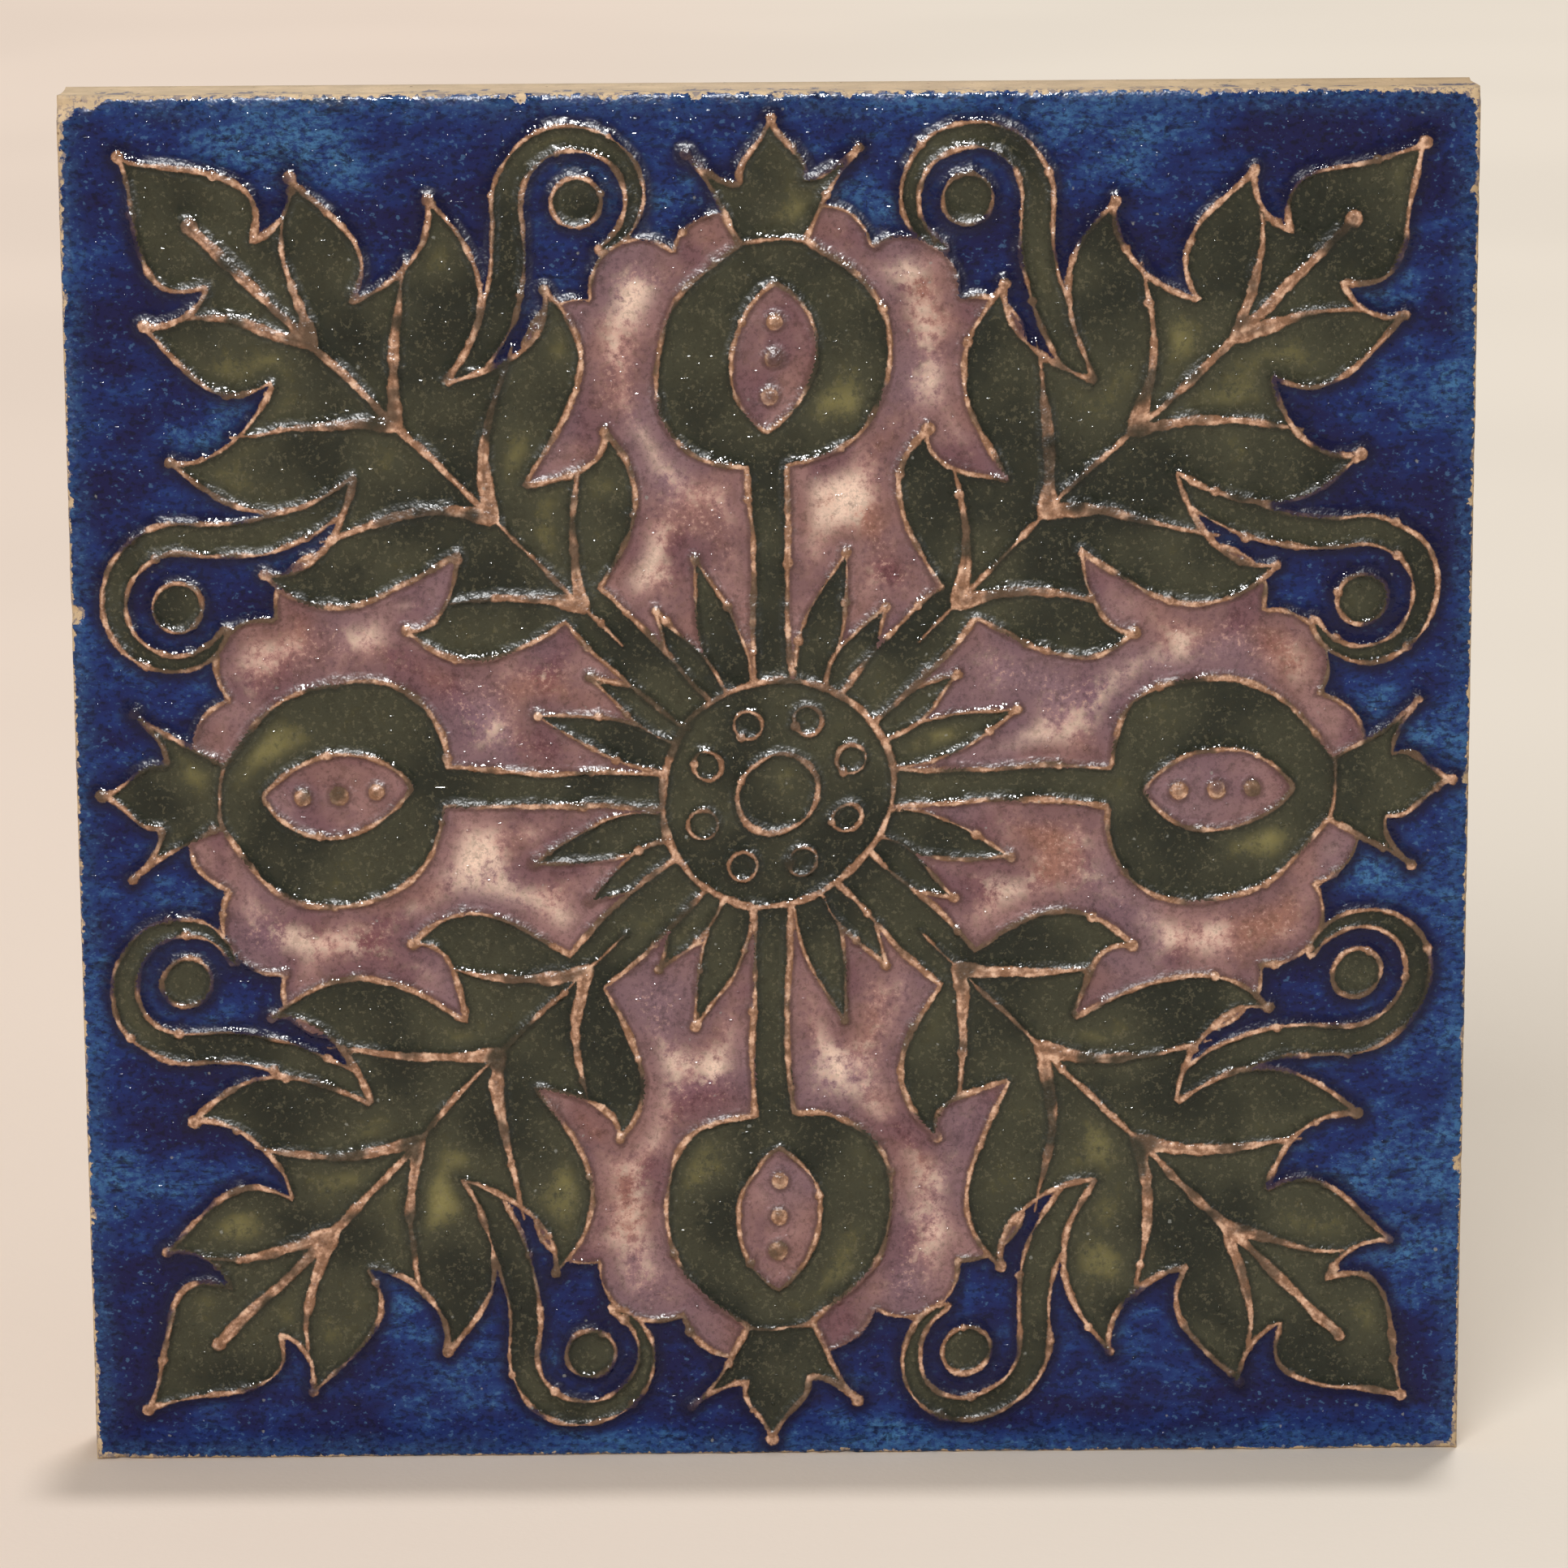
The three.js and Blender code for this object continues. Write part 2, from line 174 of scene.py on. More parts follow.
def srgb(red, green, blue):
    """A colour given as on a screen, 0 to 255, in the linear light that Blender works in."""
    shares = (c / 255 for c in (red, green, blue))
    return tuple(c / 12.92 if c <= 0.04045 else ((c + 0.055) / 1.055) ** 2.4 for c in shares)


def length_property(name, description, default, high=1.0):
    return FloatProperty(name=name, description=description, default=default, min=0.0, max=high,
                         unit="LENGTH", precision=5)


def colour_property(name, description, colour):
    return FloatVectorProperty(name=name, description=description, default=srgb(*colour), min=0, max=1,
                               subtype="COLOR", size=3)


class TileSizes(bpy.types.PropertyGroup):
    side: length_property("Side", "Length of each side of the tile", CAD_HIGH[0] - CAD_LOW[0])
    thickness: length_property("Thickness", "From the back to the bare face", 11 * MM)
    seam: length_property("Body depth", "Depth of the plain clay body behind the face", 9.3 * MM)
    line_width: length_property("Line width", "Full width of a trailed line", 1.15 * MM)
    line_height: length_property("Line height", "Height of a trailed line over the bare face", 0.84 * MM)
    glaze_depth: length_property("Glaze depth", "Depth of the glaze in the middle of a cell", 0.32 * MM)
    arris: length_property("Arris", "Size of the worn front edge", 0.9 * MM)
    key_border: length_property("Key border", "Plain border around the keying grooves", 9 * MM)
    key_depth: length_property("Key depth", "Depth of the keying grooves", 1.8 * MM)
    key_mouth: length_property("Key mouth", "Width of a keying groove at the back", 6 * MM)
    key_undercut: length_property("Key undercut", "Extra width of a groove's floor on each side", 0.5 * MM)
    key_count: IntProperty(name="Keys", description="Number of keying grooves", default=8, min=1, max=16)


class TileColours(bpy.types.PropertyGroup):
    cobalt_deep: colour_property("Cobalt, deep", "Thick cobalt glaze", (16, 18, 66))
    cobalt: colour_property("Cobalt", "Most of the cobalt glaze", (20, 42, 102))
    cobalt_pale: colour_property("Cobalt, pale", "Thin streaks in the cobalt glaze", (60, 106, 150))
    mauve_deep: colour_property("Mauve, deep", "Thick mauve glaze beside the lines", (110, 84, 89))
    mauve: colour_property("Mauve", "Most of the mauve glaze", (192, 145, 136))
    mauve_pale: colour_property("Mauve, pale", "Pale clouds in the mauve glaze", (242, 212, 193))
    olive_deep: colour_property("Olive, deep", "Thick olive glaze", (36, 39, 31))
    olive: colour_property("Olive", "Most of the olive glaze", (63, 63, 48))
    olive_glow: colour_property("Olive, glow", "Thin olive glaze over pale clay", (140, 132, 84))
    slip: colour_property("Slip", "Bare crest of a trailed line", (204, 161, 134))
    slip_thin: colour_property("Slip, stained", "Flank of a line, stained by the glaze", (130, 94, 70))
    clay: colour_property("Clay", "Bare fired clay", (206, 180, 144))
    floor: colour_property("Floor", "Plain floor of the stage", (228, 212, 199))


class StageSizes(bpy.types.PropertyGroup):
    floor_side: length_property("Floor side", "Length of the floor", 8.0, high=50.0)
    distance: length_property("Camera distance", "From the lens to the middle of the face", 0.669, high=10.0)
    lens: FloatProperty(name="Lens", description="Focal length", default=140.65, min=10, max=400, unit="CAMERA")


# Curves of the drawing, in hundredths

def polar(centre, radius, angle):
    turn = math.radians(angle)
    return np.array((centre[0] + radius * math.cos(turn), centre[1] + radius * math.sin(turn)))


def sweep(a, b, bow):
    """A curve from a to b that leaves and arrives at the bow's angles."""
    leave, arrive, pull_a, pull_b = bow
    a, b = np.array(a, float), np.array(b, float)
    span = np.hypot(*(b - a))
    first, second = polar(a, pull_a * span, leave), polar(b, -pull_b * span, arrive)
    count = max(6, math.ceil(1.15 * span / CURVE_STEP))
    t = np.linspace(0, 1, count + 1)[:, None]
    return (1 - t) ** 3 * a + 3 * (1 - t) ** 2 * t * first + 3 * (1 - t) * t * t * second + t ** 3 * b


def coil(centre, start_radius, end_radius, start, turn):
    length = abs(math.radians(turn)) * (start_radius + end_radius) / 2
    share = np.linspace(0, 1, max(10, math.ceil(length / CURVE_STEP)) + 1)
    angles = np.radians(start + turn * share)
    radii = start_radius + (end_radius - start_radius) * share
    return np.stack([centre[0] + radii * np.cos(angles), centre[1] + radii * np.sin(angles)], 1)


def ring(centre, radius):
    return coil(centre, radius, radius, 0, 360)[1:]


def joined(paths):
    return np.concatenate([paths[0]] + [path[1:] for path in paths[1:]])


def mirrored(path):
    return np.asarray(path, float) * (-1, 1)


def lengths_along(path):
    """How far along the path each of its points lies."""
    return np.concatenate([[0], np.cumsum(np.hypot(*np.diff(path, axis=0).T))])


def both_sides(path):
    """A closed outline from its right half, without the points that the two halves share."""
    back = mirrored(path)[::-1]
    loop = np.concatenate([path, back])
    step = np.hypot(*(loop - np.roll(loop, 1, axis=0)).T)
    return loop[step > TOUCHING]


def turned(path, angle):
    turn = math.radians(angle)
    c, s = math.cos(turn), math.sin(turn)
    x, y = np.asarray(path, float).T
    return np.stack([x * c - y * s, x * s + y * c], 1)


def line(path, weight=PLAIN, middle=None, end=None):
    """A line of slip: its path and its weights at its start, middle and end."""
    return np.asarray(path, float), (weight, weight if middle is None else middle, weight if end is None else end)


def outlined(glaze, area, weight, lines=(), beads=(), is_field=False):
    """A motif drawn with one line around its area. A bead is a drop of slip: place and radius."""
    around = line(np.concatenate([area, area[:1]]), weight)
    return Motif(glaze, area, [around, *lines], list(beads), is_field)


def placed(motif, angle, flip=False):
    def place(path):
        path = np.atleast_2d(path)
        return turned(mirrored(path) if flip else path, angle)

    lines = [(place(path), weights) for path, weights in motif.lines]
    beads = [(place(at)[0], radius) for at, radius in motif.beads]
    return motif._replace(area=place(motif.area), lines=lines, beads=beads)


def field_disc():
    centre = (0, FIELD_CENTRE)
    start, end = FIELD_SPAN
    step = (end - start) / SCALLOPS
    radius = FIELD_RADIUS * math.sin(math.radians(step / 2)) / math.sin(math.radians(SCALLOP_BULGE))
    distance = FIELD_RADIUS * math.cos(math.radians(step / 2)) - radius * math.cos(math.radians(SCALLOP_BULGE))
    middles = [start + step * (i + 0.5) for i in range(SCALLOPS)]
    edge = joined([
        coil(polar(centre, distance, middle), radius, radius, middle - SCALLOP_BULGE, 2 * SCALLOP_BULGE)
        for middle in middles
    ])
    area = np.concatenate([edge, [(0.0, 0.0)]])
    return Motif("mauve", area, [line(edge, LIGHT)], [], True)


def fringe_leaf(reach):
    area = both_sides(sweep(FRINGE_FOOT, (0, reach), FRINGE_BOW))
    return outlined("olive", area, FINE, beads=[((0, reach), 0.8)])


def edges_of(path, halves):
    """Left and right edges of a band along a path."""
    along = np.gradient(path, axis=0)
    along /= np.hypot(*along.T)[:, None]
    across = np.stack([-along[:, 1], along[:, 0]], 1) * halves[:, None]
    return path + across, path - across


def crozier():
    start_radius, end_radius, start, turn = CROZIER_COIL
    stalk = sweep(CROZIER_FOOT, polar(CROZIER_EYE, start_radius, start), CROZIER_STALK)
    spine = joined([stalk, coil(CROZIER_EYE, start_radius, end_radius, start, turn)])
    walked = lengths_along(spine)
    halves = CROZIER_HALF * (1 - walked / walked[-1]) ** CROZIER_TAPER
    left, right = edges_of(spine, halves)
    return outlined("olive", np.concatenate([left, right[-2::-1]]), LIGHT)


def leaf():
    notches = [lobe["notch"] for lobe in LEAF_LOBES] + [LEAF_LAST_NOTCH]
    side = [sweep(LEAF_FOOT, notches[0], FOOT_BOW)]
    lines = [line([(0, MIDRIB[0]), (0, MIDRIB[1])], VEIN_END, PLAIN, MIDRIB_END)]
    beads = [((0, MIDRIB[1]), 1.1), (LEAF_TIP, 0.95)]
    for lobe, following in zip(LEAF_LOBES, notches[1:]):
        side += [sweep(lobe["notch"], lobe["tip"], LOBE_OUT_BOW), sweep(lobe["tip"], following, LOBE_BACK_BOW)]
        vein = sweep((0, lobe["notch"][1]), lobe["vein"], VEIN_BOW)
        lines.append(line(np.concatenate([vein[::-1], mirrored(vein)[1:]]), VEIN_END, VEIN_ROOT, VEIN_END))
        for way in (-1, 1):
            beads.append(((way * lobe["tip"][0], lobe["tip"][1]), 0.9))
    side.append(sweep(LEAF_LAST_NOTCH, LEAF_TIP, TIP_BOW))
    return outlined("olive", both_sides(joined(side)), PLAIN, lines, beads)


def fruit():
    side = joined([
        np.array(STEM, float),
        sweep(STEM[-1], FRUIT_GIRTH, BULB_LOW_BOW),
        sweep(FRUIT_GIRTH, FRUIT_NECK, BULB_HIGH_BOW),
        sweep(FRUIT_NECK, CROWN_POINT, CROWN_OUT_BOW),
        sweep(CROWN_POINT, CROWN_NOTCH, CROWN_BACK_BOW),
        sweep(CROWN_NOTCH, CROWN_TOP, CROWN_TOP_BOW),
    ])
    x, y = FRUIT_NECK
    beads = [(CROWN_TOP, 0.95), (CROWN_POINT, 0.85), ((-CROWN_POINT[0], CROWN_POINT[1]), 0.85)]
    return outlined("olive", both_sides(side), PLAIN, [line(sweep((-x, y), (x, y), COLLAR_BOW), FINE)], beads)


def slit():
    seeds = [((0, y), SEED_RADIUS) for y in SEED_ROW]
    return outlined("mauve", both_sides(sweep(*SLIT, SLIT_BOW)), LIGHT, beads=seeds)


def drawing():
    """All motifs from the bottom one up. Each covers what was drawn before it."""
    quarters = (0, 90, 180, 270)
    motifs = [placed(field_disc(), angle) for angle in quarters]
    eye = outlined("olive", ring(CROZIER_EYE, EYE_RADIUS), LIGHT)
    for quarter in quarters:
        for angle, reach in FRINGE:
            motifs += [placed(fringe_leaf(reach), quarter + turn) for turn in (angle, -angle)]
        motifs += [placed(motif, quarter, flip) for motif in (crozier(), eye) for flip in (False, True)]
    motifs += [placed(leaf(), quarter + 45) for quarter in quarters]
    motifs += [placed(motif, quarter) for quarter in quarters for motif in (fruit(), slit())]
    for radius, weight in ((ROSETTE_RADIUS, BOLD), (ROSETTE_EYE, PLAIN)):
        motifs.append(outlined("olive", ring((0, 0), radius), weight))
    for i in range(RING_COUNT):
        centre = polar((0, 0), RING_CENTRE, 360 / RING_COUNT * (i + 0.5))
        motifs.append(outlined("olive", ring(centre, RING_RADIUS), FINE))
    return motifs


def inside(area, points):
    """Which of the points lie inside a closed outline."""
    held = np.zeros(len(points), bool)
    near = ((points >= area.min(0)) & (points <= area.max(0))).all(1)
    x, y = points[near].T
    found = np.zeros(len(x), bool)
    for (ax, ay), (bx, by) in zip(area, np.roll(area, -1, axis=0)):
        if ay != by:
            found ^= ((ay > y) != (by > y)) & (x < (bx - ax) * (y - ay) / (by - ay) + ax)
    held[near] = found
    return held


def covers_of(motifs, index):
    """Areas that hide a motif's lines: all that is drawn later, and for a disc of the field its fellows."""
    own = motifs[index]
    return [other.area for j, other in enumerate(motifs)
            if j > index or (own.is_field and other.is_field and j != index)]


def resampled(path, values, step):
    """A path and its values again at even steps."""
    walked = lengths_along(path)
    at = np.linspace(0, walked[-1], max(3, math.ceil(walked[-1] / step) + 1))
    even = np.stack([np.interp(at, walked, path[:, 0]), np.interp(at, walked, path[:, 1])], 1)
    return even, np.interp(at, walked, values)


def visible_runs(path, weights, covers):
    """The stretches of a line that no covering area hides, with their weights."""
    walked = lengths_along(path)
    fine, weight = resampled(path, np.interp(walked / walked[-1], (0, 0.5, 1), weights), CURVE_STEP / 2)
    hidden = np.zeros(len(fine), bool)
    for area in covers:
        hidden |= inside(area, fine)
    cuts = np.flatnonzero(np.diff(hidden.astype(int))) + 1
    pieces = np.split(np.arange(len(fine)), cuts)
    return [(fine[i], weight[i]) for i in pieces if not hidden[i[0]] and len(i) > 2]


def swayed(points, unit):
    """Points of the drawing as the hand sets them down, in millimetres."""
    x, y = np.asarray(points, float).T
    dx = sum(reach * np.sin(np.radians(turn * y + start)) for reach, turn, start in SWAYS)
    dy = sum(reach * np.sin(np.radians(turn * x - start)) for reach, turn, start in SWAYS)
    return np.stack([x + dx, y + dy], 1) * unit


def uneven(random, count, knot):
    """A smooth random sequence between -1 and 1, with a knot every so many values."""
    knots = random.uniform(-1, 1, max(2, count // knot + 2))
    at = np.linspace(0, len(knots) - 1, count)
    low = np.minimum(at.astype(int), len(knots) - 2)
    share = at - low
    share = share * share * (3 - 2 * share)
    return knots[low] * (1 - share) + knots[low + 1] * share


def trailed(motifs, sizes):
    """Every stroke of slip as short pieces, each with its half width and height, uneven as by hand."""
    random = np.random.default_rng(11)
    unit = sizes.side / MM / 200
    half_width, height = sizes.line_width / MM / 2, sizes.line_height / MM
    points, halves, heights, starts, ends, runs, drops = [], [], [], [], [], [], []
    total = 0

    def add(path, half, tall):
        nonlocal total
        count = len(path)
        points.append(path)
        halves.append(half)
        heights.append(tall)
        starts.extend(range(total, total + max(count - 1, 1)))
        ends.extend(range(total + min(1, count - 1), total + count))
        runs.append((total, total + count))
        total += count

    for index, motif in enumerate(motifs):
        covers = covers_of(motifs, index)
        for path, weights in motif.lines:
            for run, weight in visible_runs(path, weights, covers):
                run, weight = resampled(swayed(run, unit), weight, LINE_STEP)
                count = len(run)
                closed = np.hypot(*(run[0] - run[-1])) < 0.3
                order = np.arange(count)
                fade = np.minimum(1, np.minimum(order, order[::-1]) / 5) if closed else np.ones(count)
                left, _ = edges_of(run, DRIFT * uneven(random, count, DRIFT_KNOT) * fade)
                half, tall = (
                    level + fade * sum(reach * uneven(random, count, knot) for reach, knot in sways)
                    for level, sways in ((WIDTH_LEVEL, WIDTH_SWAYS), (HEIGHT_LEVEL, HEIGHT_SWAYS)))
                add(left, weight * half_width * half, height * tall)
                for i in range(random.integers(6, 30), count - 4, 30):
                    drop = half_width * random.uniform(1.05, 1.45)
                    drops.append((left[i] + random.uniform(-0.12, 0.12, 2), drop))
        for at, radius in motif.beads:
            at = np.array([at], float)
            if any(inside(area, at)[0] for area in covers):
                continue
            radius = (radius if radius < 1.2 else radius * unit) * random.uniform(0.86, 1.1)
            add(swayed(at, unit), np.array([radius]), np.array([height * random.uniform(1.0, 1.12)]))
    for at, radius in drops:
        add(at[None], np.array([radius]), np.array([height * random.uniform(0.95, 1.12)]))
    merged = (np.concatenate(values) for values in (points, halves, heights))
    return Strokes(*merged, np.array(starts), np.array(ends), runs)


class Relief:
    """Finds, for any place on the face, how far the nearest line's edge is and how high the slip stands."""

    def __init__(self, strokes):
        self.strokes = strokes
        self.tree = kdtree.KDTree(len(strokes.starts))
        middles = (strokes.points[strokes.starts] + strokes.points[strokes.ends]) / 2
        for i, (x, y) in enumerate(middles):
            self.tree.insert((x, y, 0), i)
        self.tree.balance()

    def measure(self, points):
        """Distance to the edge of the nearest line, negative on the line, and height of the slip."""
        found = np.array([[hit[1] for hit in self.tree.find_n((x, y, 0), NEAREST)] for x, y in points])
        a, b = self.strokes.starts[found], self.strokes.ends[found]
        start, along = self.strokes.points[a], self.strokes.points[b] - self.strokes.points[a]
        share = ((points[:, None] - start) * along).sum(2) / np.maximum((along ** 2).sum(2), 1e-9)
        share = np.clip(share, 0, 1)
        away = np.hypot(*np.moveaxis(points[:, None] - start - along * share[..., None], 2, 0))
        half = self.strokes.halves[a] * (1 - share) + self.strokes.halves[b] * share
        tall = self.strokes.heights[a] * (1 - share) + self.strokes.heights[b] * share
        dome = tall * np.sqrt(np.clip(1 - (away / half) ** 2, 0, 1))
        return (away - half).min(1), dome.max(1)


def rows_along(strokes):
    """Places to model the relief: rows on and beside every line, with the distance that each row keeps."""
    places, kept = [], []
    for first, last in strokes.runs:
        path, half = strokes.points[first:last], strokes.halves[first:last]
        for share, beyond in LINE_ROWS:
            reach = half * share + beyond
            keeps = reach - half
            if len(path) > 2:
                step = 2 if beyond > 0.8 else 1
                for side in edges_of(path, reach):
                    places.append(side[::step])
                    kept.append(keeps[::step])
                tips = (0, len(path) - 1)
            else:
                tips = (0,)
            if share:
                for tip in tips:
                    count = 8 if reach[tip] < 0.8 else 12
                    angles = np.arange(count) * 2 * math.pi / count + share
                    around = np.stack([np.cos(angles), np.sin(angles)], 1)
                    places.append(path[tip] + around * reach[tip])
                    kept.append(np.full(count, keeps[tip]))
            elif len(path) <= 2:
                places.append(path[:1])
                kept.append(keeps[:1])
    return np.concatenate(places), np.concatenate(kept)


def thinned(places, spacing):
    """The places without those that share a small square with an earlier one, on two grids in turn."""
    for shift in (0, 0.5):
        cells = np.floor(places / spacing + shift).astype(np.int64)
        keys = cells[:, 0] * 1000003 + cells[:, 1]
        _, first = np.unique(keys, return_index=True)
        places = places[np.sort(first)]
    return places


def wander(points, size, seed):
    """Smooth noise between about -1 and 1, with features of that size in millimetres."""
    return np.array([noise.noise(Vector((x / size, y / size, seed))) for x, y in points])


def face_points(sizes, strokes, relief):
    """The places of the face's vertices: rim rows, line rows and a loose grid between them."""
    half = sizes.side / MM / 2
    edge_rows = []
    for inset in RIM_ROWS:
        reach = half - inset
        count = round(2 * reach / (0.52 if inset < 1 else 0.7))
        run = np.linspace(-reach, reach, count + 1)[:-1]
        flat = np.full(count, reach)
        for x, y in ((run, -flat), (flat, run), (-run, flat), (-flat, -run)):
            edge_rows.append(np.stack([x, y], 1))
    edges = np.concatenate(edge_rows)
    places, kept = rows_along(strokes)
    shore, _ = relief.measure(places)
    free = (shore > kept - 0.07) & (np.abs(places).max(1) < half - LINE_MARGIN)
    lines = thinned(places[free], SPACING)
    count = int(2 * half / FIELD_STEP)
    x, y = np.meshgrid(np.arange(count + 1), np.arange(int(count / ROW_SHARE) + 1))
    grid = np.stack([(x + 0.5 * (y % 2)).ravel() * FIELD_STEP, y.ravel() * FIELD_STEP * ROW_SHARE], 1) - half
    grid += 0.22 * np.stack([wander(grid, 0.9, 3.0), wander(grid, 0.9, 9.0)], 1)
    grid = grid[np.abs(grid).max(1) < half - GRID_MARGIN]
    shore, _ = relief.measure(grid)
    return np.concatenate([edges, lines, grid[shore > GRID_CLEARANCE]])


def glaze_kinds(motifs, points, unit):
    """Which of the face kinds lies at each place: the glaze of the topmost motif, or else cobalt."""
    kinds = np.zeros(len(points), int)
    for motif in motifs:
        kinds[inside(swayed(motif.area, unit), points)] = FACE_KINDS.index(motif.glaze)
    return kinds


def chips(sizes):
    """Small losses along the front arris: place, radius and depth."""
    random = np.random.default_rng(5)
    half = sizes.side / MM / 2
    losses = []
    for (x, y), count in CHIP_SIDES:
        for _ in range(count):
            along = random.uniform(-half, half)
            radius = random.uniform(0.3, 0.8) * (1.5 if random.uniform() > 0.88 else 1.0)
            off = random.uniform(-0.35, 0.25)
            place = (along, y * (half + off)) if y else (x * (half + off), along)
            losses.append((*place, radius, radius * random.uniform(0.4, 0.7)))
    left_corner = [(-half + 0.4, half - 0.2, 2.3, 1.3), (-half + 3.4, half + 0.1, 1.6, 0.9)]
    return losses + left_corner + [(half - 0.1, half, 1.5, 0.9)]


def face_mesh(sizes):
    """Vertices in metres, faces, per-vertex values and each face's kind, for the modelled face."""
    half, deep = sizes.side / MM / 2, sizes.thickness / MM
    motifs = drawing()
    strokes = trailed(motifs, sizes)
    relief = Relief(strokes)
    flat = delaunay_2d_cdt([Vector(p) for p in face_points(sizes, strokes, relief)], [], [], 0, 1e-6, False)
    points = np.array([tuple(p) for p in flat[0]])
    triangles = [tuple(face) for face in flat[2]]
    shore, dome = relief.measure(points)
    kinds = glaze_kinds(motifs, points, sizes.side / MM / 200)
    pool = sizes.glaze_depth / MM + 0.045 * wander(points, 9, 1.0) + 0.022 * wander(points, 2.6, 2.0)
    pool += 0.16 * np.exp(-np.maximum(shore, 0) / 0.28) - 0.05 * np.exp(-((shore - 1.3) / 0.7) ** 2)
    softness = 0.05
    height = softness * np.logaddexp(dome / softness, pool / softness)
    height += 0.018 * wander(points, 0.8, 4.0) * (shore < 0)

    inset = half - np.abs(points)
    edge = inset.min(1)
    worn = sizes.arris / MM * (0.62 + 0.28 * wander(points, 3.1, 5.0) + 0.22 * wander(points, 0.9, 6.0))
    worn = np.clip(worn, 0.25, 1.6)
    roll = np.clip(1 - edge / worn, 0, 1)
    height -= 0.95 * worn * (1 - np.sqrt(1 - roll ** 2))
    corner = np.exp(-inset.max(1) / 9)
    rim = edge - 0.2 - 0.45 * corner - 0.3 * wander(points, 2.3, 7.0) - 0.26 * wander(points, 0.7, 8.0)
    for x, y, radius, depth in chips(sizes):
        near = np.flatnonzero(np.hypot(points[:, 0] - x, points[:, 1] - y) < 1.3 * radius + 3)
        close = points[near]
        away = np.hypot(close[:, 0] - x, close[:, 1] - y) + 0.22 * radius * wander(close, 0.5 + radius / 2, x)
        bite = np.clip(1 - (away / radius) ** 2, 0, 1)
        height[near] -= depth * bite ** 0.7 * (1 + 0.2 * wander(close, 0.45, y))
        rim[near] = np.minimum(rim[near], (away - radius) * 0.8)
    height = np.maximum(height, sizes.seam / MM - deep + 0.12)
    kinds[(kinds == 0) & (rim < RIM_REACH)] = FACE_KINDS.index("rim")
    first, second, third = kinds[np.array(triangles)].T

    boundary = np.flatnonzero(edge < 1e-4)
    order = boundary[np.argsort(np.arctan2(points[boundary, 1], points[boundary, 0]))]
    rows = [order]
    vertices = [np.stack([points[:, 0], -(deep + height), points[:, 1]], 1)]
    count, around = len(points), len(order)
    for share in SKIRT_ROWS:
        depth = (deep + height[order]) * (1 - share) + sizes.seam / MM * share
        vertices.append(np.stack([points[order, 0], -depth, points[order, 1]], 1))
        rows.append(np.arange(count, count + around))
        count += around
    faces = list(triangles)
    for upper, lower in zip(rows, rows[1:]):
        for i in range(around):
            j = (i + 1) % around
            faces.append((upper[i], lower[i], lower[j], upper[j]))
    faces.append(tuple(rows[-1][::-1]))
    spill = 0.5 * wander(points[order], 1.1, 12.0)
    down = np.concatenate([rim[order] + spill - 1.3 * share for share in SKIRT_ROWS])
    values = {
        "shore": np.concatenate([shore, np.full(len(down), 3.0)]),
        "rim": np.concatenate([rim, down]),
        "inset": np.concatenate([edge, np.zeros(len(down))]),
    }
    face_kinds = np.full(len(faces), FACE_KINDS.index("rim"), np.int32)
    face_kinds[:len(triangles)] = np.where(second == third, second, first)
    return np.concatenate(vertices) * MM, faces, values, face_kinds


# Materials

